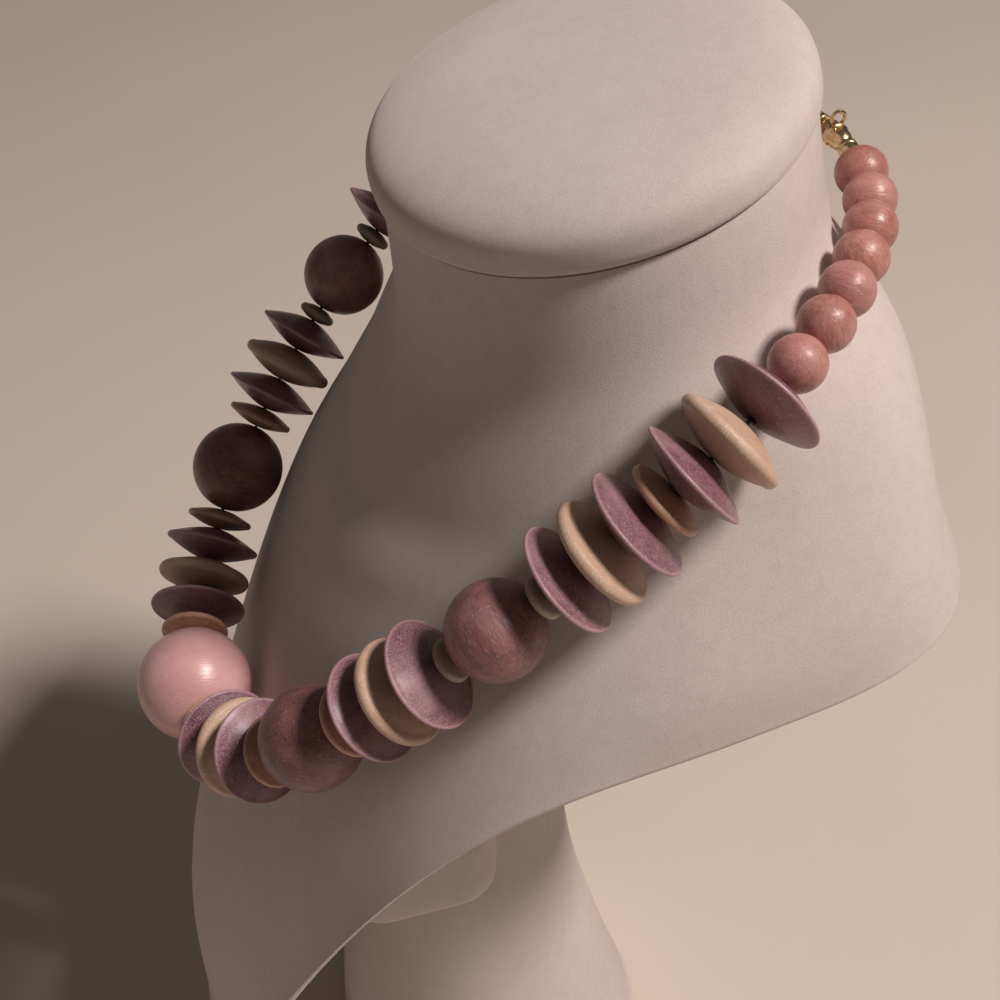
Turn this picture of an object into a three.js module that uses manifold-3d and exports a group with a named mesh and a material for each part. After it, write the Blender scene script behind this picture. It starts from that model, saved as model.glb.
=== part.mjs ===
// A wooden bead necklace lying on a velvet neck bust.
// Millimetres, +Z up. The bust faces -Y, the wearer's left is +X, and the clasp is behind the neck.
// The origin is on the table, under the middle of the bust.
import * as THREE from 'three';
import { ParametricGeometry } from 'three/addons/geometries/ParametricGeometry.js';
import { mergeVertices } from 'three/addons/utils/BufferGeometryUtils.js';
import Module from 'manifold-3d';

const wasm = await Module();
wasm.setup();

// ---- Driving sizes ----

const GAP = 0.3;                // air between pieces that touch on the real necklace
const FRONT_BEAD_HEIGHT = 180;  // middle of the front ball above the table
const FRONT_BEAD_REACH = 81.7;   // middle of the front ball ahead of the origin
const THREAD_RADIUS = 0.5;
const HOLE_RADIUS = 1.2;

// Every kind of bead: its diameter, its length along the thread and its shape.
// "mouth" is the radius of the flared ends of a ball's hole, where the thread turns.
const BEADS = {
  front_ball:  { diameter: 29.2, length: 29.2, shape: 'ball', sides: 20, mouth: 3.0 },
  large_ball:  { diameter: 24.4, length: 24.4, shape: 'ball', sides: 16, mouth: 2.2 },
  medium_ball: { diameter: 21.6, length: 21.6, shape: 'ball', sides: 14, mouth: 1.6 },
  small_ball:  { diameter: 11.7, length: 11.3, shape: 'ball', sides: 10, mouth: 1.2 },
  mauve_disc:  { diameter: 25.0, length: 8.8, shape: 'disc', sides: 14, rim: 0.8 },
  pale_disc:   { diameter: 24.5, length: 9.0, shape: 'disc', sides: 14, rim: 3.4 },
  tan_disc:    { diameter: 17.5, length: 5.2, shape: 'disc', sides: 12, rim: 2.2 },
  spacer:      { diameter: 10.0, length: 3.8, shape: 'disc', sides: 10, rim: 2.0 },
};

// The colour of each kind of bead.
const COLOURS = {
  front_ball: 0xc98f8a, large_ball: 0x7d5650, medium_ball: 0x80584f, small_ball: 0xbd7766,
  mauve_disc: 0x85606b, pale_disc: 0xcfae8e, tan_disc: 0xb98a68, spacer: 0x9c9183,
};

// One side of the necklace, from the front ball to the clasp. Both sides are alike.
const SIDE = [
  'tan_disc', 'mauve_disc', 'pale_disc', 'mauve_disc', 'tan_disc', 'large_ball',
  'tan_disc', 'mauve_disc', 'pale_disc', 'mauve_disc', 'spacer', 'medium_ball',
  'spacer', 'mauve_disc', 'pale_disc', 'mauve_disc', 'tan_disc', 'mauve_disc',
  'pale_disc', 'mauve_disc',
];
const SMALL_BALLS = 7;          // threaded on each side after SIDE
const SLACK = { 19: 1 };        // extra thread showing before a bead, by its place in SIDE

// The thread's route on the wearer's left, from the front ball to the clasp. Distances are
// from the middle of the front ball: out to the side, back towards the clasp, and up.
const ROUTE = [
  { out: 0,    back: 0,     up: 0 },
  { out: 24.5, back: 5,     up: 4 },
  { out: 38.5, back: 12,    up: 12.5 },
  { out: 51,   back: 22.5,  up: 27 },
  { out: 66.5, back: 46.5,  up: 56 },
  { out: 75,   back: 72.5,  up: 82.5 },
  { out: 78,   back: 97,    up: 106.5 },
  { out: 74.5, back: 111.5, up: 117 },
  { out: 63.5, back: 128.5, up: 124.5 },
  { out: 47.5, back: 144,   up: 127.5 },
  { out: 28.5, back: 156,   up: 129 },
  { out: 0,    back: 162,   up: 130 },
];

// The bust's outer skin, a row for each section from the cap down to the lower edge.
// back, up: the section's middle; half: half its width; front, rear: its two half depths;
// tilt: degrees that its rear is raised; square: 2 is an oval, more is boxier;
// rear_square: the same behind; drop: how far its foremost point hangs below the section.
const BUST = [
  { back: 102.7, up: 140, half: 52,   front: 47.5, rear: 47.5, tilt: 17, square: 2, rear_square: 2, drop: 0 },
  { back: 104,   up: 117, half: 57,   front: 48, rear: 50.5, tilt: 19, square: 2, rear_square: 2.1, drop: 10 },
  { back: 102,   up: 99,  half: 66.5, front: 61, rear: 56, tilt: 27, square: 1.9, rear_square: 2.5, drop: 7 },
  { back: 104,   up: 80,  half: 74.5, front: 74, rear: 66, tilt: 22, square: 1.9, rear_square: 3.2, drop: 9 },
  { back: 105,   up: 56,  half: 88,   front: 93, rear: 69, tilt: 16, square: 1.9, rear_square: 3.6, drop: 38 },
  { back: 109.5, up: 42,  half: 91.5, front: 126, rear: 70, tilt: 11.5, square: 2.1, rear_square: 3.8, drop: 165 },
];
const CHIN_SHARPNESS = 3.2;     // how closely the drop keeps to the front
const BUST_RINGS = 13;          // rings of faces from the cap to the lower edge
const BUST_SIDES = 32;
const EDGE_RADIUS = 2.5;        // rounding of the lower edge
const UNDERSIDE = { back: 80, up: 14, rings: 5 };

// The padded cap, a pillow that follows the first section of the bust.
const CAP = { overhang: 1.5, height: 13, crown: 4, rings: 5 };

// The pedestal under the bust, a row for each section from the top to the table.
const PEDESTAL = [
  { back: 72, up: 24,   half: 30, depth: 26, tilt: 0 },
  { back: 68, up: -40,  half: 34, depth: 30, tilt: 0 },
  { back: 68, up: -90,  half: 39, depth: 35, tilt: 0 },
  { back: 73, up: -140, half: 47, depth: 42, tilt: 0 },
  { back: 78, up: -180, half: 56, depth: 49, tilt: 0 },
];
const PEDESTAL_SIDES = 24;
const SHELF = { half: 55, from: 25, to: 69, top: -21, thickness: 28, corner: 12 };

// The clasp and the two ends that the thread is fixed in.
const CORD_END = { length: 5.6, wide: 4.6, narrow: 3.0 };
const CLASP = { length: 10, diameter: 5.2, ring: 3.2, wire: 0.9 };

const METAL = { color: 0xc9a35a, roughness: 0.28, metalness: 1 };
const VELVET = { color: 0xcfc6c0, roughness: 0.95, metalness: 0 };
const THREAD = { color: 0x1c1614, roughness: 0.8, metalness: 0 };

// ---- Helpers ----

const part = new THREE.Group();
const necklace = new THREE.Group();
const bust = new THREE.Group();
necklace.position.set(0, -FRONT_BEAD_REACH, FRONT_BEAD_HEIGHT);
bust.position.copy(necklace.position);
part.add(necklace, bust);

function add(group, name, geometry, look) {
  const mesh = new THREE.Mesh(geometry, new THREE.MeshStandardMaterial(look));
  mesh.name = name;
  group.add(mesh);
  return mesh;
}

// A closed solid of manifold-3d from a geometry.
function solid(geometry) {
  const bare = geometry.clone().deleteAttribute('normal').deleteAttribute('uv');
  const merged = mergeVertices(bare, 1e-4);
  const index = Array.from(merged.index.array);
  const triangles = [];
  for (let i = 0; i < index.length; i += 3) {
    const [a, b, c] = index.slice(i, i + 3);
    if (a !== b && b !== c && c !== a) triangles.push(a, b, c);
  }
  return new wasm.Manifold(new wasm.Mesh({
    numProp: 3,
    vertProperties: new Float32Array(merged.attributes.position.array),
    triVerts: new Uint32Array(triangles),
  }));
}

// The geometry of a manifold-3d solid.
function geometryOf(manifold) {
  const mesh = manifold.getMesh();
  const geometry = new THREE.BufferGeometry();
  geometry.setAttribute('position', new THREE.BufferAttribute(mesh.vertProperties, 3));
  geometry.setIndex(new THREE.BufferAttribute(mesh.triVerts, 1));
  geometry.computeVertexNormals();
  return geometry;
}

// A closed skin through rings of points, each ring a function of the angle round it.
// The first and the last ring are single points.
function loft(rings, sides) {
  const here = new THREE.Vector3();
  const next = new THREE.Vector3();
  return new ParametricGeometry((across, along, target) => {
    const place = THREE.MathUtils.clamp(along, 0, 1) * (rings.length - 1);
    const ring = Math.min(Math.floor(place), rings.length - 2);
    const angle = -across * 2 * Math.PI;
    rings[ring](angle, here);
    rings[ring + 1](angle, next);
    target.lerpVectors(here, next, place - ring);
  }, sides, rings.length - 1);
}

// A smooth curve through one column of a table, read at 0 (first row) to 1 (last row).
function column(rows, name) {
  const points = rows.map((row, i) => new THREE.Vector3(i / (rows.length - 1), row[name], 0));
  return (t) => {
    const span = t * (rows.length - 1);
    const i = Math.min(Math.floor(span), rows.length - 2);
    const at = (k) => points[THREE.MathUtils.clamp(k, 0, rows.length - 1)].y;
    const [a, b, c, d] = [at(i - 1), at(i), at(i + 1), at(i + 2)];
    const s = span - i;
    return b + 0.5 * s * (c - a + s * (2 * a - 5 * b + 4 * c - d + s * (3 * (b - c) + d - a)));
  };
}

// ---- Beads ----

// A ball or a disc turned about its hole, which lies along Y.
function beadGeometry(kind) {
  const { diameter, length, shape, sides, mouth, rim } = BEADS[kind];
  const radius = diameter / 2;
  const outline = [];
  if (shape === 'ball') {
    const steps = Math.round(sides / 2);
    const start = Math.asin(mouth / radius);
    for (let i = 0; i <= steps; i++) {
      const angle = start + (Math.PI - 2 * start) * i / steps;
      outline.push(new THREE.Vector2(radius * Math.sin(angle), -radius * Math.cos(angle)));
    }
    outline.push(new THREE.Vector2(HOLE_RADIUS, 0));
  } else {
    outline.push(new THREE.Vector2(HOLE_RADIUS, -length / 2));
    outline.push(new THREE.Vector2(radius - rim / 4, -rim / 2));
    if (rim > 1) outline.push(new THREE.Vector2(radius, 0));
    outline.push(new THREE.Vector2(radius - rim / 4, rim / 2));
    outline.push(new THREE.Vector2(HOLE_RADIUS, length / 2));
  }
  outline.push(outline[0].clone());
  return new THREE.LatheGeometry(outline, sides);
}

// The whole loop of thread, starting at the front ball and running round the wearer's left.
const leftSide = ROUTE.slice(1, -1);
const route = new THREE.CatmullRomCurve3([
  ...[ROUTE[0], ...leftSide, ROUTE.at(-1)].map((p) => new THREE.Vector3(p.out, p.back, p.up)),
  ...leftSide.reverse().map((p) => new THREE.Vector3(-p.out, p.back, p.up)),
], true, 'centripetal');
route.arcLengthDivisions = 4000;
const LOOP = route.getLength();

// Point and direction of the thread, at a distance from the front ball towards the left.
function onThread(distance) {
  const share = THREE.MathUtils.euclideanModulo(distance / LOOP, 1);
  return { point: route.getPointAt(share), direction: route.getTangentAt(share) };
}

// Lays a mesh that was made along Y on the thread, at a distance from the front ball.
function string(mesh, distance) {
  const { point, direction } = onThread(distance);
  mesh.position.copy(point);
  mesh.quaternion.setFromUnitVectors(new THREE.Vector3(0, 1, 0), direction);
  return mesh;
}

// A round tube along the thread between two distances from the front ball.
function tube(from, to, radius, sides, steps) {
  const points = [];
  for (let i = 0; i <= steps; i++) points.push(onThread(from + (to - from) * i / steps).point);
  const section = new THREE.Shape();
  for (let i = 0; i < sides; i++) {
    const angle = 2 * Math.PI * i / sides;
    const corner = [radius * Math.cos(angle), radius * Math.sin(angle)];
    if (i === 0) section.moveTo(...corner);
    else section.lineTo(...corner);
  }
  return new THREE.ExtrudeGeometry(section, {
    steps, bevelEnabled: false, extrudePath: new THREE.CatmullRomCurve3(points),
  });
}

// The single beads, strung outwards from the front ball on both sides.
function addBead(name, kind, distance) {
  const look = { color: COLOURS[kind], roughness: 0.45, metalness: 0 };
  string(add(necklace, name, beadGeometry(kind), look), distance);
}

addBead('front_ball', 'front_ball', 0);
let reached = BEADS.front_ball.length / 2;
SIDE.forEach((kind, i) => {
  reached += GAP + (SLACK[i] ?? 0) + BEADS[kind].length / 2;
  for (const [side, sign] of [['left', 1], ['right', -1]]) {
    addBead(`${side}_${String(i + 1).padStart(2, '0')}_${kind}`, kind, sign * reached);
  }
  reached += BEADS[kind].length / 2;
});

// The small balls of one side, joined in one solid along a core of thread.
const ballsFrom = reached + GAP;
const ballsTo = ballsFrom + SMALL_BALLS * BEADS.small_ball.length;
for (const [side, sign] of [['left', 1], ['right', -1]]) {
  const { diameter, length, sides } = BEADS.small_ball;
  let row = solid(tube(sign * (ballsFrom + 1), sign * (ballsTo - 1), HOLE_RADIUS, 6, 14));
  for (let i = 0; i < SMALL_BALLS; i++) {
    const ball = new THREE.SphereGeometry(diameter / 2, sides, sides / 2 + 1);
    const place = new THREE.Object3D();
    string(place, sign * (ballsFrom + length * (i + 0.5)));
    place.updateMatrix();
    row = row.add(solid(ball.applyMatrix4(place.matrix)));
  }
  const look = { color: COLOURS.small_ball, roughness: 0.45, metalness: 0 };
  add(necklace, `${side}_small_balls`, geometryOf(row), look);
}

// The thread through the single beads.
const threadEnd = ballsFrom - GAP;
add(necklace, 'thread', tube(-threadEnd, threadEnd, THREAD_RADIUS, 6, 64), THREAD);

// ---- Clasp ----

// A turned cap that grips the end of the thread behind the last ball.
function cordEndGeometry() {
  const { length, wide, narrow } = CORD_END;
  return new THREE.LatheGeometry([
    new THREE.Vector2(0, 0), new THREE.Vector2(narrow / 2, 0),
    new THREE.Vector2(wide / 2, length * 0.45), new THREE.Vector2(wide / 2, length),
    new THREE.Vector2(0, length),
  ], 12);
}

for (const [side, sign] of [['left', 1], ['right', -1]]) {
  const cap = add(necklace, `${side}_cord_end`, cordEndGeometry(), METAL);
  string(cap, sign * (ballsTo + GAP));
  if (sign < 0) cap.rotateX(Math.PI);
}

// One plain barrel with a band round its middle and a small ring soldered on top.
function claspGeometry() {
  const { length, diameter, ring, wire } = CLASP;
  const radius = diameter / 2;
  const barrel = new THREE.LatheGeometry([
    new THREE.Vector2(0, -length / 2), new THREE.Vector2(radius * 0.7, -length / 2),
    new THREE.Vector2(radius, -length * 0.3), new THREE.Vector2(radius, -length * 0.1),
    new THREE.Vector2(radius * 1.15, 0), new THREE.Vector2(radius, length * 0.1),
    new THREE.Vector2(radius, length * 0.3), new THREE.Vector2(radius * 0.7, length / 2),
    new THREE.Vector2(0, length / 2),
  ], 14);
  const loop = new THREE.TorusGeometry(ring / 2, wire / 2, 6, 12);
  loop.rotateY(Math.PI / 2).rotateZ(Math.PI / 2).translate(0, 0, radius + ring / 2);
  return geometryOf(solid(barrel).add(solid(loop)));
}

const clasp = add(necklace, 'clasp', claspGeometry(), METAL);
clasp.position.copy(onThread(LOOP / 2).point);
clasp.rotation.z = Math.PI / 2;

// ---- Bust ----

const skin = {};
for (const name of Object.keys(BUST[0])) skin[name] = column(BUST, name);

// A point of the bust's skin: t runs from the cap to the lower edge, and the angle round it
// starts at the wearer's left and reaches the rear first.
function skinPoint(t, angle, target) {
  const behind = Math.sin(angle) > 0;
  const power = 2 / (behind ? skin.rear_square(t) : skin.square(t));
  const across = Math.sign(Math.cos(angle)) * Math.abs(Math.cos(angle)) ** power;
  const deep = Math.sign(Math.sin(angle)) * Math.abs(Math.sin(angle)) ** power;
  const reach = deep * (behind ? skin.rear(t) : skin.front(t));
  const tilt = THREE.MathUtils.degToRad(skin.tilt(t));
  const hang = skin.drop(t) * Math.max(-deep, 0) ** CHIN_SHARPNESS;
  return target.set(
    across * skin.half(t),
    skin.back(t) + reach * Math.cos(tilt),
    skin.up(t) + reach * Math.sin(tilt) - hang,
  );
}

// Neck, shoulders and chest in one closed solid, hollowed a little from below.
function bustGeometry() {
  const rings = [];
  const top = new THREE.Vector3(0, BUST[0].back, BUST[0].up);
  rings.push((angle, target) => target.copy(top));
  for (let i = 0; i < BUST_RINGS; i++) {
    const t = i / (BUST_RINGS - 1);
    rings.push((angle, target) => skinPoint(t, angle, target));
  }
  const centre = new THREE.Vector3(0, UNDERSIDE.back, UNDERSIDE.up);
  for (let i = 0; i < UNDERSIDE.rings; i++) {
    const inward = i / UNDERSIDE.rings;
    rings.push((angle, target) => {
      skinPoint(1, angle, target);
      const edge = target.z;
      target.lerp(centre, THREE.MathUtils.lerp(0.04, 1, inward));
      target.z = centre.z + (edge - centre.z) * (1 - inward) ** 3 - (i === 0 ? EDGE_RADIUS : 0);
    });
  }
  rings.push((angle, target) => target.copy(centre));
  return loft(rings, BUST_SIDES);
}

// The cap's rim stands a little proud of the neck, and its top is gently domed.
function capGeometry() {
  const { back, up, half, front, tilt } = BUST[0];
  const slope = THREE.MathUtils.degToRad(tilt);
  const ring = (spread, rise) => (angle, target) => {
    const across = Math.cos(angle) * spread * (half + CAP.overhang);
    const deep = Math.sin(angle) * spread * (front + CAP.overhang);
    return target.set(
      across,
      back + deep * Math.cos(slope) - rise * Math.sin(slope),
      up + deep * Math.sin(slope) + rise * Math.cos(slope),
    );
  };
  const top = GAP + CAP.height;
  const rings = [ring(0, top + CAP.crown), ring(0.5, top + CAP.crown * 0.8)];
  for (let i = CAP.rings; i >= 0; i--) {
    const turn = Math.PI / 2 * i / CAP.rings;
    const rise = GAP + CAP.height * (0.35 + 0.65 * Math.sin(turn));
    rings.push(ring(1 - 0.12 * (1 - Math.cos(turn)), rise));
  }
  rings.push(ring(0.96, GAP), ring(0, GAP));
  return loft(rings, BUST_SIDES);
}

// The flared pedestal, with the rounded shelf that carries the chest.
function pedestalGeometry() {
  const section = (row) => (angle, target) => {
    const tilt = THREE.MathUtils.degToRad(row.tilt);
    const deep = Math.sin(angle) * row.depth;
    return target.set(
      Math.cos(angle) * row.half, row.back + deep * Math.cos(tilt), row.up + deep * Math.sin(tilt),
    );
  };
  const centre = (row) => (angle, target) => target.set(0, row.back, row.up);
  const rings = [centre(PEDESTAL[0]), ...PEDESTAL.map(section), centre(PEDESTAL.at(-1))];
  const post = solid(loft(rings, PEDESTAL_SIDES));

  const { half, from, to, top, thickness, corner } = SHELF;
  const plan = new THREE.Shape();
  plan.moveTo(-half, from);
  plan.lineTo(half, from);
  plan.lineTo(half, to - corner);
  plan.absarc(half - corner, to - corner, corner, 0, Math.PI / 2);
  plan.lineTo(corner - half, to);
  plan.absarc(corner - half, to - corner, corner, Math.PI / 2, Math.PI);
  const shelf = new THREE.ExtrudeGeometry(plan, {
    depth: thickness, bevelEnabled: false, curveSegments: 5,
  }).translate(0, 0, top - thickness);

  // Both are cut to the bust's underside, a gap below it and behind the chest.
  const body = solid(bustGeometry());
  const whole = post.add(solid(shelf));
  return geometryOf(whole.subtract(body.translate(0, 0, -GAP)).subtract(body.translate(0, GAP, -GAP)));
}

add(bust, 'bust_body', bustGeometry(), VELVET);
add(bust, 'bust_cap', capGeometry(), VELVET);
add(bust, 'pedestal', pedestalGeometry(), VELVET);

export default part;
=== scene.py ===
import math
import random

import bmesh
import bpy
import numpy as np
from mathutils import Matrix, Vector
from mathutils.bvhtree import BVHTree


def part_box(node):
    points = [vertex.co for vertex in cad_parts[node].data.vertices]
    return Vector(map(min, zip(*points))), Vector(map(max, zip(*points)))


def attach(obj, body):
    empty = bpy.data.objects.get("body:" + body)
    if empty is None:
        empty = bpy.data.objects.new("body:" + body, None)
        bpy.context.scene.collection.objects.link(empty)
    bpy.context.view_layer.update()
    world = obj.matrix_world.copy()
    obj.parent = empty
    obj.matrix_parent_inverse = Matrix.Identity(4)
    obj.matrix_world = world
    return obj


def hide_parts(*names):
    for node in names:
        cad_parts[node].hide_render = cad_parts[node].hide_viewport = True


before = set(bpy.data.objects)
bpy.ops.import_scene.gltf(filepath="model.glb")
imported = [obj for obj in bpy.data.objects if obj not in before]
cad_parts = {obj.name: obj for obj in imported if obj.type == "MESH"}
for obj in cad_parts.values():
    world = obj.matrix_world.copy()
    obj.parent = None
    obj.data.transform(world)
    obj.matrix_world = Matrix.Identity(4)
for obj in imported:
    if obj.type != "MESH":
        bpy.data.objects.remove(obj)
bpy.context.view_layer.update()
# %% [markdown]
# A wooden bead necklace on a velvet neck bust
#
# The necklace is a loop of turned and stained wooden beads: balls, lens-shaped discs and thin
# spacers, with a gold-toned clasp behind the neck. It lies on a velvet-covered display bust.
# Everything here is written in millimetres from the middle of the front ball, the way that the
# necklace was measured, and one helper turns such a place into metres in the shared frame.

MM = 0.001
FRONT_BALL = Vector((0, -81.7, 180))    # its middle, in the shared frame, in millimetres


def in_frame(place):
    """A place given in millimetres from the front ball, in metres in the shared frame."""
    return (Vector(place) + FRONT_BALL) * MM


# %% [markdown]
# Writing a material as sums
#
# A material's pattern is a chain of small nodes, and a drawing of forty nodes is hard to read.
# Here a socket is wrapped in a small class, so that adding or multiplying two of them makes the
# Math node. A recipe holds the material and has one method that makes any other node.

# %% A socket that can be added and multiplied, and a recipe of nodes
class Wire:
    """An output of a node. Sums with it become Math nodes."""

    def __init__(self, recipe, socket):
        self.recipe = recipe
        self.socket = socket

    def maths(self, operation, first, second):
        return self.recipe.node("ShaderNodeMath", {"operation": operation}, {0: first, 1: second})

    def __add__(self, other):
        return self.maths("ADD", self, other)

    def __radd__(self, other):
        return self.maths("ADD", other, self)

    def __sub__(self, other):
        return self.maths("SUBTRACT", self, other)

    def __rsub__(self, other):
        return self.maths("SUBTRACT", other, self)

    def __mul__(self, other):
        return self.maths("MULTIPLY", self, other)

    def __rmul__(self, other):
        return self.maths("MULTIPLY", other, self)

    def __pow__(self, other):
        return self.maths("POWER", self, other)

    def between(self, low, high):
        """0 below low, 1 above high and smooth from one to the other."""
        return self.recipe.node(
            "ShaderNodeMapRange",
            {"interpolation_type": "SMOOTHSTEP", "clamp": True},
            {"Value": self, "From Min": low, "From Max": high},
        )


class Recipe:
    """A material while its nodes are laid out."""

    def __init__(self, name):
        self.material = bpy.data.materials.new(name)
        self.material.use_nodes = True
        self.tree = self.material.node_tree
        self.tree.nodes.clear()
        self.end = self.tree.nodes.new("ShaderNodeOutputMaterial")

    def node(self, kind, settings=None, inputs=None, output=0):
        """Makes a node: its settings first, then its sockets, and gives one of its outputs."""
        made = self.tree.nodes.new(kind)
        for name, value in (settings or {}).items():
            setattr(made, name, value)
        for name, value in (inputs or {}).items():
            if isinstance(value, Wire):
                self.tree.links.new(value.socket, made.inputs[name])
            else:
                made.inputs[name].default_value = value
        return Wire(self, made.outputs[output])

    def place(self, x=1.0, y=1.0, z=1.0):
        """The place on the piece in millimetres, times a stretch in each direction."""
        where = self.node("ShaderNodeTexCoord", output="Object")
        stretch = (x / MM, y / MM, z / MM)
        return self.node("ShaderNodeVectorMath", {"operation": "MULTIPLY"}, {0: where, 1: stretch})

    def stored(self, name):
        """A number that the mesh carries at each of its points."""
        return self.node("ShaderNodeAttribute", {"attribute_name": name}, output="Fac")

    def noise(self, where, scale, detail=3.0, turn=0.0, roughness=0.5):
        """A soft random pattern, from 0 to 1; turn picks another pattern of the same kind."""
        return self.node(
            "ShaderNodeTexNoise",
            {"noise_dimensions": "4D"},
            {"Vector": where, "Scale": scale, "Detail": detail, "W": turn, "Roughness": roughness},
        )

    def mix(self, share, first, second):
        """A colour part of the way from the first to the second."""
        made = self.tree.nodes.new("ShaderNodeMix")
        made.data_type = "RGBA"
        for place, value in ((0, share), (6, first), (7, second)):
            if isinstance(value, Wire):
                self.tree.links.new(value.socket, made.inputs[place])
            else:
                made.inputs[place].default_value = value
        return Wire(self, made.outputs[2])

    def bump(self, height, distance, strength=1.0):
        """Turns a height into a dented surface; distance is in millimetres."""
        return self.node(
            "ShaderNodeBump", {}, {"Height": height, "Distance": distance * MM, "Strength": strength}
        )

    def finish(self, sockets):
        """Ends the recipe in one Principled surface with these sockets."""
        surface = self.node("ShaderNodeBsdfPrincipled", {}, sockets)
        self.tree.links.new(surface.socket, self.end.inputs["Surface"])
        return self.material


def paint(red, green, blue):
    """A colour given from 0 to 255 in each part, as the shader wants it."""
    parts = [part / 255 for part in (red, green, blue)]
    return (*[p / 12.92 if p <= 0.04045 else ((p + 0.055) / 1.055) ** 2.4 for p in parts], 1.0)


print("recipe ready")

# %% [markdown]
# The run of the thread
#
# Each bead has its place from the thread, so the thread comes first. On the real necklace it is
# one loop of cord that hangs from the sides of the neck and comes forward over the chest. A
# smooth curve through a dozen places makes it. The same curve is in the plain solids, so that
# the beads made here lie where the plain ones are. The curve is the centripetal kind, which
# never loops between places that are close together.

# %% The route of the thread
ROUTE = [    # out to the side, back towards the clasp, up
    (0, 0, 0), (24.5, 5, 4), (38.5, 12, 12.5), (51, 22.5, 27), (66.5, 46.5, 56),
    (75, 72.5, 82.5), (78, 97, 106.5), (74.5, 111.5, 117), (63.5, 128.5, 124.5),
    (47.5, 144, 127.5), (28.5, 156, 129), (0, 162, 130),
]
CURVE_STEPS = 200                        # between two places of the route


def centripetal(before, start, end, after, share):
    """A place on the smooth curve from start to end, led by its two neighbours."""
    one, two, three = (
        (b - a).length_squared ** 0.25 for a, b in ((before, start), (start, end), (end, after))
    )
    leave = (start - before) / one - (end - before) / (one + two) + (end - start) / two
    arrive = (end - start) / two - (after - start) / (two + three) + (after - end) / three
    leave, arrive = leave * two, arrive * two
    square = -3 * start + 3 * end - 2 * leave - arrive
    cube = 2 * start - 2 * end + leave + arrive
    return start + leave * share + square * share**2 + cube * share**3


left_side = [Vector(place) for place in ROUTE]
right_side = [Vector((-p.x, p.y, p.z)) for p in reversed(left_side[1:-1])]
knots = left_side + right_side
path = [
    centripetal(*(knots[(i + k) % len(knots)] for k in (-1, 0, 1, 2)), step / CURVE_STEPS)
    for i in range(len(knots))
    for step in range(CURVE_STEPS)
]
path = np.array([*path, path[0]])
walked = np.concatenate([[0], np.cumsum(np.linalg.norm(np.diff(path, axis=0), axis=1))])
LOOP = float(walked[-1])
print(f"the thread's loop is {LOOP:.1f} mm round")


def on_thread(distance):
    """The place at a distance from the front ball, towards the wearer's left."""
    return Vector([np.interp(distance % LOOP, walked, path[:, axis]) for axis in range(3)])


def direction(distance, reach=0.5):
    """The way that the thread runs there."""
    return (on_thread(distance + reach) - on_thread(distance - reach)).normalized()


# %% [markdown]
# Turning a bead
#
# The beads are turned on a lathe and drilled, so each one is an outline spun round its hole.
# The outline runs from the hole over the shoulder and the rim and back, and in again through
# the hole, so the bead is one closed shell with a real hole that the thread can be seen to go
# into. Two numbers are stored at every point for the colour: how near it is to the rim, where
# handling rubs the stain thin and a painted highlight lightens the rim, and which bead it is, so that no
# two beads have the same grain.

# %% A bead spun round its hole
ROUND = 72                               # points round a bead
HOLE = 1.0


def ball_outline(radius, mouth, steps=34):
    """From one mouth of the hole to the other, over a ball with slightly eased mouths."""
    start = math.asin(mouth / radius)
    angles = [start + (math.pi - 2 * start) * i / steps for i in range(steps + 1)]
    return [(radius * math.sin(a), -radius * math.cos(a)) for a in angles]


def disc_outline(radius, length, rim, fullness, steps=12):
    """Two domed faces that meet in a rounded rim; fullness 1 is a cone, 2 is a dome."""
    inside = HOLE + 0.35
    round_off = rim * 0.5
    flat = radius - round_off
    face = []
    for i in range(steps + 1):
        r = inside + (flat - inside) * i / steps
        share = (r - inside) / (flat - inside)
        face.append((r, -(rim / 2 + (length - rim) / 2 * (1 - share**fullness))))
    turn = [
        (flat + round_off * math.cos(a), rim / 2 * math.sin(a))
        for a in (math.pi * (i / 10 - 0.5) for i in range(1, 10))
    ]
    return face + turn + [(r, -y) for r, y in reversed(face)]


def spin(name, outline, around=ROUND, hole=HOLE, wobble=0.0, seed=0):
    """A closed shell from an outline of (radius, along the hole), with its hole's wall."""
    chance = random.Random(seed)
    phase = chance.uniform(0, 2 * math.pi)
    (first_r, first_y), (last_r, last_y) = outline[0], outline[-1]
    ease = 0.25
    inner = [(hole, last_y - ease), (hole, first_y + ease)] if hole else []
    rows = [(first_r, first_y), *outline[1:-1], (last_r, last_y), *inner]
    widest = max(r for r, _ in rows)
    points, faces = [], []
    for r, y in rows:
        for k in range(around):
            a = 2 * math.pi * k / around
            w = 1 - wobble * (0.5 + 0.5 * math.sin(2 * a + phase))
            points.append((r * w * math.cos(a) * MM, r * w * math.sin(a) * MM, y * MM))
    count = len(rows)
    for i in range(count if hole else count - 1):
        for k in range(around):
            j, n = (i + 1) % count, (k + 1) % around
            faces.append((i * around + k, i * around + n, j * around + n, j * around + k))
    if not hole:
        faces.append(tuple(reversed(range(around))))
        faces.append(tuple((count - 1) * around + k for k in range(around)))
    mesh = bpy.data.meshes.new(name)
    mesh.from_pydata(points, [], faces)
    mesh.update()
    near_rim = mesh.attributes.new("near_rim", "FLOAT", "POINT")
    near_rim.data.foreach_set("value", [r / widest for r, _ in rows for _ in range(around)])
    return mesh


def smooth(mesh, degrees=40):
    """Round shading, with edges sharper than this kept crisp."""
    made = bmesh.new()
    made.from_mesh(mesh)
    bmesh.ops.recalc_face_normals(made, faces=made.faces)
    made.to_mesh(mesh)
    made.free()
    mesh.shade_smooth()
    mesh.set_sharp_from_angle(angle=math.radians(degrees))


def store(mesh, name, value):
    """Writes one number at every point of a mesh."""
    kept = mesh.attributes.new(name, "FLOAT", "POINT")
    kept.data.foreach_set("value", [value] * len(mesh.vertices))


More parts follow.
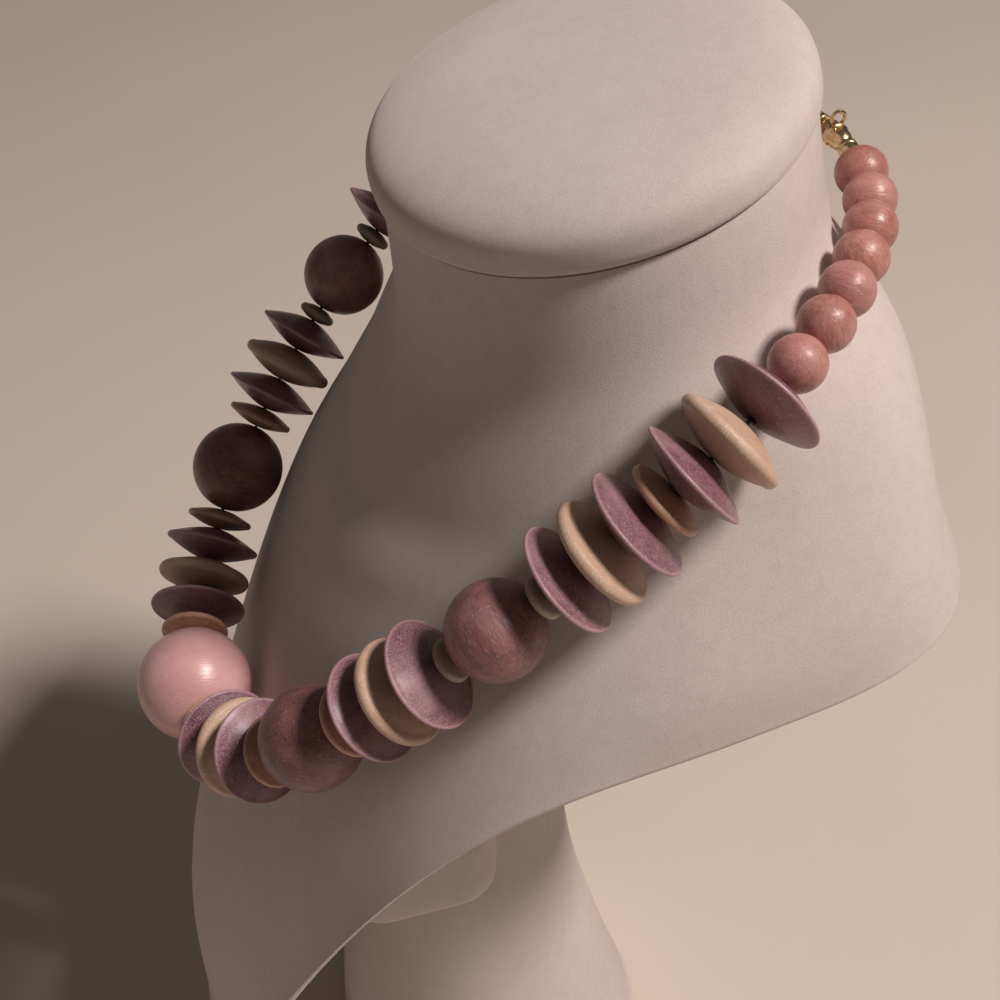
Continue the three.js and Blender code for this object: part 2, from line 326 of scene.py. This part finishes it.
def piece(name, mesh, material, *nodes):
    """Puts a mesh in the scene with its material; the plain solids given are not used."""
    made = bpy.data.objects.new(name, mesh)
    mesh.materials.append(material)
    bpy.context.scene.collection.objects.link(made)
    return made


def keep(made, slot, *nodes):
    """Fixes a finished piece to the body, and hides the plain solids that it stands for."""
    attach(made, "root")
    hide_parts(*nodes)


test_outline = disc_outline(12.5, 8.8, 0.8, 1.5)
print("a disc's outline has", len(test_outline), "points and is",
      round(2 * max(r for r, _ in test_outline), 2), "mm across")

# %% [markdown]
# Stained wood under a satin lacquer
#
# The beads are pale wood dyed pink, plum, mauve and tan, and sealed with a thin lacquer. Dye
# sinks deeper into the open pores, which show as short streaks along the fibre and as dots
# where the fibre ends come out of a face, and light dust of the finish stays in some of them.
# Long stretched noise makes the streaks. The same noise seen end-on gives the dots by itself,
# so one recipe serves for every bead. A thin coat on top gives the small soft highlights.

# %% The wood recipe
def wood(name, deep, body, pale, streak=0.5, dots=0.3, rim_wear_and_highlight=0.3, gloss=0.42, coat=0.25,
         relief=0.05, end_grain=False):
    """Wood dyed body, with deep streaks, pale specks and a paler rim, part wear and part painted highlight.

    The fibres run across the hole, or along it where the faces show end grain.
    """
    mix = Recipe(name)
    which = mix.stored("which")
    near_rim = mix.stored("near_rim")
    fibres = mix.place(z=0.16) if end_grain else mix.place(x=0.16)
    turn = which * 37.0
    pores = mix.noise(fibres, 1.15, 4.0, turn, 0.65)
    fine = mix.noise(fibres, 2.7, 2.0, turn + 3.0, 0.7)
    cloud = mix.noise(mix.place(x=0.5), 0.13, 2.0, turn + 7.0)
    bands = mix.noise(mix.place(x=0.05, y=1.0, z=0.6), 0.42, 2.0, turn + 11.0)
    grain = (pores * 0.6 + fine * 0.4).between(0.42, 0.62)
    base = mix.mix(which * 0.36, body, deep)
    base = mix.mix(grain * streak, base, deep)
    base = mix.mix(bands.between(0.38, 0.66) * (streak * 0.45), base, deep)
    speck = (fine * 0.7 + pores * 0.3).between(0.52, 0.62)
    base = mix.mix(speck * dots, base, pale)
    base = mix.mix(cloud.between(0.42, 0.72) * 0.35, base, pale)
    # The rim is painted paler: partly wear where handling rubs the stain thin, partly a painted highlight
    # standing for the lit band along the rim.
    wear_and_highlight_rim = near_rim.between(0.93, 1.0) * (0.6 + cloud * 0.8)
    base = mix.mix(wear_and_highlight_rim * rim_wear_and_highlight, base, pale)
    rough = gloss + 0.16 * (grain - 0.5) + 0.12 * (cloud - 0.5)
    height = pores * 0.55 + fine * 0.45 + cloud * 0.25
    return mix.finish({
        "Base Color": base,
        "Roughness": rough,
        "Coat Weight": coat,
        "Coat Roughness": 0.3,
        "Coat IOR": 1.5,
        "IOR": 1.46,
        "Normal": mix.bump(height, relief * 9.0, 1.0),
    })


WOODS = {
    "front_ball": wood(
        "pink_stained_wood", paint(186, 132, 132), paint(216, 168, 168), paint(232, 194, 192),
        streak=0.35, dots=0.2, rim_wear_and_highlight=0.0, gloss=0.36, coat=0.35, relief=0.02,
    ),
    "large_ball": wood(
        "rosewood_brown_ball", paint(74, 46, 50), paint(154, 100, 90), paint(188, 150, 152),
        streak=0.85, dots=0.55, rim_wear_and_highlight=0.0, gloss=0.42, coat=0.25, relief=0.03,
    ),
    "medium_ball": wood(
        "mauve_brown_ball", paint(88, 52, 60), paint(166, 112, 106), paint(196, 156, 158),
        streak=0.85, dots=0.5, rim_wear_and_highlight=0.0, gloss=0.42, coat=0.25, relief=0.03,
    ),
    "small_ball": wood(
        "salmon_stained_ball", paint(128, 64, 52), paint(196, 138, 128), paint(212, 164, 164),
        streak=0.7, dots=0.4, rim_wear_and_highlight=0.0, gloss=0.4, coat=0.28, relief=0.03,
    ),
    # The mauve discs get the strongest paler rim, part wear and part painted highlight.
    "mauve_disc": wood(
        "mauve_stained_disc", paint(82, 46, 58), paint(148, 104, 118), paint(194, 156, 164),
        streak=0.95, dots=0.6, rim_wear_and_highlight=0.6, gloss=0.38, coat=0.3, relief=0.05, end_grain=True,
    ),
    "pale_disc": wood(
        "pale_maple_disc", paint(172, 136, 112), paint(208, 176, 154), paint(228, 204, 186),
        streak=0.5, dots=0.45, rim_wear_and_highlight=0.15, gloss=0.5, coat=0.1, relief=0.04, end_grain=True,
    ),
    "tan_disc": wood(
        "tan_stained_disc", paint(150, 104, 80), paint(202, 154, 126), paint(228, 188, 162),
        streak=0.6, dots=0.4, rim_wear_and_highlight=0.3, gloss=0.45, coat=0.2, relief=0.04, end_grain=True,
    ),
    "spacer": wood(
        "greyed_spacer", paint(120, 104, 90), paint(178, 160, 146), paint(208, 194, 180),
        streak=0.4, dots=0.3, rim_wear_and_highlight=0.2, gloss=0.48, coat=0.15, relief=0.04, end_grain=True,
    ),
}
print(len(WOODS), "kinds of stained wood")

# %% [markdown]
# Stringing the beads
#
# The order of the beads is the same on both sides, so one list and one loop string them from
# the front ball outwards. Each bead is pushed against the one before, with a hair's breadth of
# air, and turned a little about its hole so that the grain of each one runs its own way.

# %% The kinds of bead and their order
GAP = 0.3
BEADS = {    # across, length along the thread, rim thickness, fullness of the faces
    "front_ball": (29.2, 29.2, None, None),
    "large_ball": (24.4, 24.4, None, None),
    "medium_ball": (21.6, 21.6, None, None),
    "small_ball": (11.7, 11.3, None, None),
    "mauve_disc": (25.0, 8.8, 1.0, 1.45),
    "pale_disc": (24.5, 9.0, 3.2, 1.7),
    "tan_disc": (17.5, 5.2, 1.8, 1.6),
    "spacer": (10.0, 3.8, 2.4, 1.8),
}
SIDE = (
    "tan mauve pale mauve tan large tan mauve pale mauve spacer medium "
    "spacer mauve pale mauve tan mauve pale mauve"
).split()
FULL_NAMES = {
    "tan": "tan_disc", "mauve": "mauve_disc", "pale": "pale_disc",
    "large": "large_ball", "medium": "medium_ball", "spacer": "spacer",
}
SLACK_BEFORE_LAST = 1.0
SMALL_BALLS = 7


def outline_of(kind):
    """The outline of one kind of bead."""
    across, length, rim, fullness = BEADS[kind]
    if rim is None:
        return ball_outline(across / 2, 1.6)
    return disc_outline(across / 2, length, rim, fullness)


def bead(name, kind, distance, which, *nodes):
    """One bead on the thread, at a distance from the front ball."""
    chance = random.Random(which)
    mesh = spin(name, outline_of(kind), wobble=0.006, seed=which)
    smooth(mesh)
    store(mesh, "which", chance.random())
    made = piece(name, mesh, WOODS[kind])
    along = direction(distance)
    lean = along.to_track_quat("Z", "Y").to_matrix().to_4x4()
    spun = Matrix.Rotation(chance.uniform(0, 2 * math.pi), 4, "Z")
    made.matrix_world = Matrix.Translation(in_frame(on_thread(distance))) @ lean @ spun
    keep(made, kind, *nodes)
    return made


strung = [bead("front_ball_wood", "front_ball", 0, 100, "front_ball")]
reached = BEADS["front_ball"][1] / 2
for number, short in enumerate(SIDE, 1):
    kind = FULL_NAMES[short]
    reached += GAP + BEADS[kind][1] / 2
    if number == len(SIDE):
        reached += SLACK_BEFORE_LAST
    for side, sign in (("left", 1), ("right", -1)):
        node = f"{side}_{number:02d}_{kind}"
        strung.append(bead(f"{node}_wood", kind, sign * reached, number * sign, node))
    reached += BEADS[kind][1] / 2
balls_from = reached + GAP

pitch = BEADS["small_ball"][1]
for side, sign in (("left", 1), ("right", -1)):
    for i in range(SMALL_BALLS):
        distance = sign * (balls_from + pitch * (i + 0.5))
        name = f"{side}_small_ball_{i + 1}_wood"
        strung.append(bead(name, "small_ball", distance, sign * (40 + i), f"{side}_small_balls"))
balls_to = balls_from + pitch * SMALL_BALLS

far_off = []
for made in strung:
    plain = made.name.removesuffix("_wood")
    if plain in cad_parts:
        low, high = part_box(plain)
        far_off.append(((low + high) / 2 - made.matrix_world.translation).length / MM)
print(len(strung), "beads; the farthest from its plain solid is", round(max(far_off), 2), "mm")

# %% [markdown]
# The thread and the clasp
#
# The thread is a dark two-ply cord. Two thin strands that wind round each other show the ply
# where the thread comes into view between beads. The clasp is a small gold-toned barrel between
# two caps that grip the ends of the thread. All of it is turned metal, so it is spun as well.

# %% Thread of two strands
PLY_RADIUS = 0.3
PLY_TURN = 3.2                           # length of one turn of the ply
STRAND_SIDES = 6


def sweep(places, radius, sides=STRAND_SIDES):
    """Points and faces of a closed tube along places."""
    points, faces = [], []
    up = Vector((0.2, 0.1, 1)).normalized()
    for i, here in enumerate(places):
        ahead = (places[min(i + 1, len(places) - 1)] - places[max(i - 1, 0)]).normalized()
        side = ahead.cross(up).normalized()
        over = side.cross(ahead)
        for k in range(sides):
            a = 2 * math.pi * k / sides
            points.append(here + radius * (side * math.cos(a) + over * math.sin(a)))
    for i in range(len(places) - 1):
        for k in range(sides):
            n = (k + 1) % sides
            faces.append((i * sides + k, (i + 1) * sides + k, (i + 1) * sides + n, i * sides + n))
    last = (len(places) - 1) * sides
    faces += [tuple(range(sides)), tuple(last + k for k in reversed(range(sides)))]
    return points, faces


def thread_mesh():
    """Both strands, from one cord end round the front to the other."""
    points, faces = [], []
    steps = int(2 * balls_to / 0.8)
    for phase in (0, math.pi):
        places = []
        for i in range(steps + 1):
            distance = -balls_to + 2 * balls_to * i / steps
            along = direction(distance)
            side = along.cross(Vector((0, 0, 1))).normalized()
            turn = phase + 2 * math.pi * distance / PLY_TURN
            out = side * math.cos(turn) + along.cross(side) * math.sin(turn)
            places.append(in_frame(on_thread(distance) + out * PLY_RADIUS))
        more, more_faces = sweep(places, PLY_RADIUS * MM)
        faces += [tuple(v + len(points) for v in face) for face in more_faces]
        points += more
    mesh = bpy.data.meshes.new("beading_thread")
    mesh.from_pydata(points, [], faces)
    smooth(mesh, 80)
    return mesh


cord = Recipe("dark_waxed_thread")
fuzz = cord.noise(cord.place(), 3.0, 2.0)
thread_look = cord.finish({
    "Base Color": cord.mix(fuzz, paint(34, 24, 22), paint(70, 54, 50)),
    "Roughness": 0.6 + 0.2 * fuzz,
    "Normal": cord.bump(fuzz, 0.05),
})
thread = piece("beading_thread", thread_mesh(), thread_look)
keep(thread, "thread", "thread")
print("thread", round(2 * balls_to, 1), "mm between its cord ends")

# %% Cord ends and clasp in gold-toned brass
gold = Recipe("gold_toned_brass")
scuff = gold.noise(gold.place(z=0.2), 1.6, 3.0)
gold_look = gold.finish({
    "Base Color": gold.mix(scuff.between(0.3, 0.75), paint(204, 174, 122), paint(236, 216, 176)),
    "Metallic": 1.0,
    "Roughness": 0.16 + 0.2 * scuff,
    "Normal": gold.bump(scuff, 0.005),
})
CORD_END = [(0.6, 0), (1.3, 0.05), (1.5, 0.5), (1.75, 1.2), (2.2, 2.3), (2.3, 2.7), (2.3, 3.3),
            (2.1, 3.5), (2.1, 3.8), (2.3, 4.0), (2.3, 5.2), (2.1, 5.5), (0.6, 5.6)]
BARREL = [(0.4, -5.0), (1.5, -4.9), (1.9, -4.5), (2.3, -3.7), (2.55, -2.9), (2.6, -1.1),
          (2.75, -0.8), (2.98, -0.5), (2.98, 0.5), (2.75, 0.8), (2.6, 1.1), (2.55, 2.9),
          (2.3, 3.7), (1.9, 4.5), (1.5, 4.9), (0.4, 5.0)]
for side, sign in (("left", 1), ("right", -1)):
    start = sign * (balls_to + GAP)
    mesh = spin(f"{side}_cord_end_brass", CORD_END, around=40, hole=0)
    smooth(mesh, 30)
    made = piece(mesh.name, mesh, gold_look)
    lean = (direction(start) * sign).to_track_quat("Z", "Y").to_matrix().to_4x4()
    made.matrix_world = Matrix.Translation(in_frame(on_thread(start))) @ lean
    keep(made, "metal", f"{side}_cord_end")

barrel = spin("clasp_brass", BARREL, around=40, hole=0)
joined = bmesh.new()
joined.from_mesh(barrel)
ring_places = [
    Vector((2.6 + 1.6 + 1.6 * math.cos(a), 1.6 * math.sin(a), 0)) * MM
    for a in (2 * math.pi * i / 40 for i in range(41))
]
ring_points, ring_faces = sweep(ring_places, 0.45 * MM, 10)
corners = [joined.verts.new(p) for p in ring_points[:-10]]
for face in ring_faces[:-2]:
    joined.faces.new([corners[v % len(corners)] for v in face])
joined.to_mesh(barrel)
joined.free()
smooth(barrel, 30)
clasp = piece("clasp_brass", barrel, gold_look)
clasp.matrix_world = (
    Matrix.Translation(in_frame(on_thread(LOOP / 2)))
    @ Matrix.Rotation(-math.pi / 2, 4, "Y")
)
keep(clasp, "metal", "clasp")
print("clasp box", [round(v / MM, 1) for v in clasp.dimensions], "mm")

# %% [markdown]
# The neck bust
#
# The bust is a hollow moulding, flocked with a short velvet nap: an oval neck that flares into
# boxy shoulders behind and hangs down in a long rounded chest in front. Its shape is read from
# a table of sections, a row from the cap down to the lower edge, with a smooth curve through
# each column. The plain solid uses the same table with few faces, and here it gets many, so
# that no facet shows in the soft light.

# %% Sections of the bust
COLUMNS = "back up half front rear tilt square rear_square drop".split()
BUST = [
    (102.7, 140, 52, 47.5, 47.5, 17, 2, 2, 0),
    (104, 117, 57, 48, 50.5, 19, 2, 2.1, 10),
    (102, 99, 66.5, 61, 56, 27, 1.9, 2.5, 7),
    (104, 80, 74.5, 74, 66, 22, 1.9, 3.2, 9),
    (105, 56, 88, 93, 69, 16, 1.9, 3.6, 38),
    (109.5, 42, 91.5, 126, 70, 11.5, 2.1, 3.8, 165),
]
CHIN_SHARPNESS = 3.2
FULL_CHEST, CHEST_FROM = 12.0, 0.77      # how far the chest swells forward, and from where
CHEST_SHARPNESS = 8                      # how closely the swell keeps to the front
INSET = 0.35                             # the skin lies this far inside the plain solid
BUST_SIDES, BUST_RINGS = 144, 72


def column(name, t):
    """One column of the table at t, from 0 at the cap to 1 at the lower edge."""
    rows = [row[COLUMNS.index(name)] for row in BUST]
    span = t * (len(rows) - 1)
    i = min(int(span), len(rows) - 2)
    a, b, c, d = (rows[min(max(k, 0), len(rows) - 1)] for k in (i - 1, i, i + 1, i + 2))
    s = span - i
    return b + 0.5 * s * (c - a + s * (2 * a - 5 * b + 4 * c - d + s * (3 * (b - c) + d - a)))


def chest(t):
    """How far the chest swells forward at t, between its start and the lower edge."""
    share = max(t - CHEST_FROM, 0) / (1 - CHEST_FROM)
    return FULL_CHEST * math.sin(math.pi * share) ** 2


def skin(t, angle):
    """A place on the bust's skin; the angle starts at the wearer's left and goes rearward."""
    behind = math.sin(angle) > 0
    power = 2 / column("rear_square" if behind else "square", t)
    across = math.copysign(abs(math.cos(angle)) ** power, math.cos(angle))
    deep = math.copysign(abs(math.sin(angle)) ** power, math.sin(angle))
    half_depth = column("rear", t) if behind else column("front", t) + chest(t) * deep**CHEST_SHARPNESS
    reach = deep * (half_depth - INSET)
    tilt = math.radians(column("tilt", t))
    hang = column("drop", t) * max(-deep, 0) ** CHIN_SHARPNESS
    return Vector((
        across * (column("half", t) - INSET),
        column("back", t) + reach * math.cos(tilt),
        column("up", t) + reach * math.sin(tilt) - hang,
    ))


def loft(name, rings):
    """A closed skin through rings of places; the first and the last close on their middles."""
    sides = len(rings[0])
    points = [in_frame(p) for ring in rings for p in ring]
    faces = [
        (i * sides + k, i * sides + (k + 1) % sides, (i + 1) * sides + (k + 1) % sides,
         (i + 1) * sides + k)
        for i in range(len(rings) - 1) for k in range(sides)
    ]
    for first in (0, (len(rings) - 1) * sides):
        ring = points[first:first + sides]
        points.append(sum(ring, Vector()) / sides)
        faces += [(first + k, first + (k + 1) % sides, len(points) - 1) for k in range(sides)]
    mesh = bpy.data.meshes.new(name)
    mesh.from_pydata(points, [], faces)
    return mesh


ANGLES = [2 * math.pi * k / BUST_SIDES for k in range(BUST_SIDES)]
UNDER = Vector((0, 80, 14))              # the deepest place of the hollow below
LIP = 2.4                                # thickness of the lower edge
rings = [[skin(i / BUST_RINGS, a) for a in ANGLES] for i in range(BUST_RINGS + 1)]
edge = rings[-1]
for turn in (0.35, 0.7, 1.0):            # the rounded lip
    out = math.cos(turn * math.pi / 2)
    rings.append([
        p.lerp(Vector((UNDER.x, UNDER.y, p.z)), 0.04 * (1 - out))
        - Vector((0, 0, LIP * math.sin(turn * math.pi / 2)))
        for p in edge
    ])
for i in range(1, 25):
    inward = i / 25
    ring = []
    for p in edge:
        q = p.lerp(UNDER, 0.04 + 0.96 * inward)
        q.z = UNDER.z + (p.z - UNDER.z) * (1 - inward) ** 3 - LIP * (1 - inward) ** 8
        ring.append(q)
    rings.append(ring)

# %% Velvet nap
velvet = Recipe("short_velvet_nap")
pile = velvet.noise(velvet.place(), 3.4, 3.0, 0.0, 0.7)
mottle = velvet.noise(velvet.place(), 0.28, 4.0, 1.0, 0.6)
brushed = velvet.noise(velvet.place(z=0.5), 0.035, 3.0, 2.0)
nap = velvet.mix(pile.between(0.3, 0.7), paint(194, 182, 177), paint(214, 203, 198))
nap = velvet.mix(mottle.between(0.4, 0.7) * 0.16, nap, paint(176, 162, 158))
nap = velvet.mix(brushed.between(0.4, 0.7) * 0.25, nap, paint(222, 212, 208))
velvet_look = velvet.finish({
    "Base Color": nap,
    "Roughness": 0.9 + 0.08 * pile,
    "Specular IOR Level": 0.15,
    "Sheen Weight": 0.35,
    "Sheen Roughness": 0.45,
    "Sheen Tint": paint(245, 236, 232),
    "Normal": velvet.bump(pile * 0.8 + mottle * 0.2, 0.17, 0.6),
})
bust = piece("velvet_bust", loft("velvet_bust", rings), velvet_look)
smooth(bust.data, 60)
keep(bust, "velvet", "bust_body")
print("bust of", len(bust.data.vertices), "points", [round(v, 3) for v in bust.dimensions])

# %% [markdown]
# The padded top
#
# The top of the neck is closed by an oval cap with its own piece of velvet stretched over it.
# Its rim is softly rounded, stands a little proud of the neck and tucks in below, which leaves
# the dark line round the neck. One boxy curve runs from the rim to the middle, and gives both
# the round shoulder and the low pillowed top without a crease between them.

# %% Cap
CAP_HALF, CAP_DEEP, CAP_SLOPE = 53, 48.5, math.radians(17)
TUCK, WIDEST, DOME, SQUARENESS = 0.04, 3.0, 12.6, 3.3


def cap_ring(share, rise):
    """A ring of the cap, a share of its widest, raised square to the neck's own slope."""
    ring = []
    for a in ANGLES:
        deep = math.sin(a) * CAP_DEEP * share
        ring.append(Vector((
            math.cos(a) * CAP_HALF * share,
            102.7 + deep * math.cos(CAP_SLOPE) - rise * math.sin(CAP_SLOPE),
            140 + deep * math.sin(CAP_SLOPE) + rise * math.cos(CAP_SLOPE),
        )))
    return ring


cap_rings = [cap_ring(share, GAP) for share in (0.3, 0.8, 0.93)]
for i in range(8):                       # tucked in below
    a = math.pi / 2 * i / 8
    cap_rings.append(cap_ring(1 - TUCK * (1 - math.sin(a)), GAP + WIDEST * (1 - math.cos(a))))
for i in range(32):                      # over the rim and up to the middle of the dome
    a = math.pi / 2 * i / 32
    share = math.cos(a) ** (2 / SQUARENESS)
    cap_rings.append(cap_ring(share, GAP + WIDEST + DOME * math.sin(a) ** (2 / SQUARENESS)))
cap = piece("velvet_cap", loft("velvet_cap", cap_rings), velvet_look)
smooth(cap.data, 60)
keep(cap, "velvet", "bust_cap")
print("cap", [round(v, 3) for v in cap.dimensions])

# %% [markdown]
# The pedestal
#
# Under the chest stands a flared foot in the same velvet, with a rounded shelf across its front
# that carries the chest. Both reach up to the hollow underside of the bust, so each one's top is
# lowered to meet it: a ray sent straight up from every point finds the underside.

# %% Pedestal and its shelf
bpy.context.view_layer.update()
underside = BVHTree.FromObject(bust, bpy.context.evaluated_depsgraph_get())


def below_bust(place, gap=0.4):
    """The place itself, or just under the bust where that is lower."""
    here = in_frame(place)
    hit = underside.ray_cast(Vector((here.x, here.y, 0.001)), Vector((0, 0, 1)))[0]
    if hit is not None and hit.z / MM - FRONT_BALL.z - gap < place.z:
        return Vector((place.x, place.y, hit.z / MM - FRONT_BALL.z - gap))
    return place


POST = [    # back, up, half width, half depth
    (78, -180, 56, 49), (73, -140, 47, 42), (68, -90, 39, 35), (68, -40, 34, 30), (72, 10, 30, 26),
]
POST_RINGS = 40


def post_row(t):
    """A section of the post, at t from 0 at the table to 1 at the top."""
    span = t * (len(POST) - 1)
    i = min(int(span), len(POST) - 2)
    s = span - i
    before, low, high, after = (
        np.array(POST[min(max(k, 0), len(POST) - 1)], float) for k in (i - 1, i, i + 1, i + 2)
    )
    pull = 2 * before - 5 * low + 4 * high - after + s * (3 * (low - high) + after - before)
    return low + 0.5 * s * (high - before + s * pull)


post_rings = []
for i in range(POST_RINGS + 1):
    back, up, half, depth = post_row(i / POST_RINGS)
    ring = [Vector((math.cos(a) * half, back + math.sin(a) * depth, up)) for a in ANGLES]
    if i == 0:                           # the foot's edge is eased
        post_rings.append([p.lerp(Vector((0, back, up)), 0.02) for p in ring])
        ring = [p + Vector((0, 0, 1.2)) for p in ring]
    post_rings.append([below_bust(p) for p in ring])

SHELF_HALF, SHELF_FROM, SHELF_TO, SHELF_TOP, SHELF_THICK = 54, 25.5, 68, -21, 27
SHELF_CORNER, SHELF_EASE = 12, 4


def shelf_ring(inset, up):
    """The shelf's outline, a rounded slab seen from above."""
    middle = (SHELF_FROM + SHELF_TO) / 2
    half, deep = SHELF_HALF - inset, (SHELF_TO - SHELF_FROM) / 2 - inset
    corner = SHELF_CORNER - inset * 0.6
    ring = []
    for quarter, (sx, sy) in enumerate(((1, 1), (-1, 1), (-1, -1), (1, -1))):
        for k in range(12):
            a = math.pi / 2 * (quarter + k / 11)
            ring.append(Vector((
                sx * (half - corner) + corner * math.cos(a),
                middle + sy * (deep - corner) + corner * math.sin(a),
                up,
            )))
    return ring


shelf_rings = [shelf_ring(SHELF_EASE, SHELF_TOP - SHELF_THICK)]
for i in range(1, 6):
    a = math.pi / 2 * i / 5
    low = SHELF_TOP - SHELF_THICK + SHELF_EASE * (1 - math.cos(a))
    shelf_rings.append(shelf_ring(SHELF_EASE * (1 - math.sin(a)), low))
for i in range(1, 6):
    shelf_rings.append(shelf_ring(0, SHELF_TOP - SHELF_EASE - (SHELF_THICK - 2 * SHELF_EASE) * (1 - i / 5)))
for i in range(1, 7):
    a = math.pi / 2 * i / 6
    top = SHELF_TOP - SHELF_EASE * (1 - math.sin(a))
    shelf_rings.append(shelf_ring(SHELF_EASE * (1 - math.cos(a)), top))
for inset in (8, 12, 16, 19):
    shelf_rings.append(shelf_ring(inset, SHELF_TOP))
shelf_rings = [[below_bust(p) for p in ring] for ring in shelf_rings]

post = piece("velvet_pedestal", loft("velvet_pedestal", post_rings), velvet_look)
shelf = piece("velvet_shelf", loft("velvet_shelf", shelf_rings), velvet_look)
for made in (post, shelf):
    smooth(made.data, 60)
    keep(made, "velvet", "pedestal")
print("pedestal", [round(v, 3) for v in post.dimensions])

# %% [markdown]
# Table, light and camera
#
# The bust stands on a plain pale table. One large soft lamp above and behind the wearer's left
# shoulder lights the near side and the top of the neck and leaves the far side and the front in
# shade, and a pale room fills the shadows in. The camera looks down on the near side.

# %% The table and the light
ground = Recipe("pale_table_top")
tone = ground.noise(ground.place(), 0.004, 3.0)
ground_look = ground.finish({
    "Base Color": ground.mix(tone, paint(206, 194, 182), paint(214, 203, 192)),
    "Roughness": 0.8,
    "Normal": ground.bump(ground.noise(ground.place(), 0.4, 3.0), 0.1, 0.2),
})
table_mesh = bpy.data.meshes.new("table_top")
span = 3.0
table_mesh.from_pydata(
    [(-span, -span, -0.0004), (span, -span, -0.0004), (span, span, -0.0004), (-span, span, -0.0004)],
    [], [(0, 1, 2, 3)],
)
table_top = piece("table_top", table_mesh, ground_look)


def lamp(name, place, aim, power, size, colour):
    """A square soft lamp that points at a place."""
    light = bpy.data.lights.new(name, "AREA")
    light.energy, light.size, light.color = power, size, colour[:3]
    made = bpy.data.objects.new(name, light)
    bpy.context.scene.collection.objects.link(made)
    made.location = place
    made.rotation_euler = (Vector(aim) - Vector(place)).to_track_quat("-Z", "Y").to_euler()
    return made


lamp("ceiling_light", (0.74, 0.98, 2.08), (0, 0, 0.2), 52.0, 0.36, paint(255, 243, 236))
world = bpy.data.worlds.new("pale_room")
world.use_nodes = True
world.node_tree.nodes["Background"].inputs["Color"].default_value = paint(224, 212, 204)
world.node_tree.nodes["Background"].inputs["Strength"].default_value = 0.12
bpy.context.scene.world = world
bpy.context.scene.view_settings.view_transform = "Standard"
print("light set")

# %% The camera
LOOK_FROM = (0.2791, -0.0844, 0.4646)
TURN, LOOK_DOWN = 73.05, 39.78           # degrees round from the front, and below level
lens = bpy.data.cameras.new("camera")
lens.sensor_width = 36
lens.lens = 54.1
lens.clip_start, lens.clip_end = 0.01, 20
camera = bpy.data.objects.new("camera", lens)
camera.location = LOOK_FROM
camera.rotation_euler = (math.radians(90 - LOOK_DOWN), 0, math.radians(TURN))
bpy.context.scene.collection.objects.link(camera)
bpy.context.scene.camera = camera
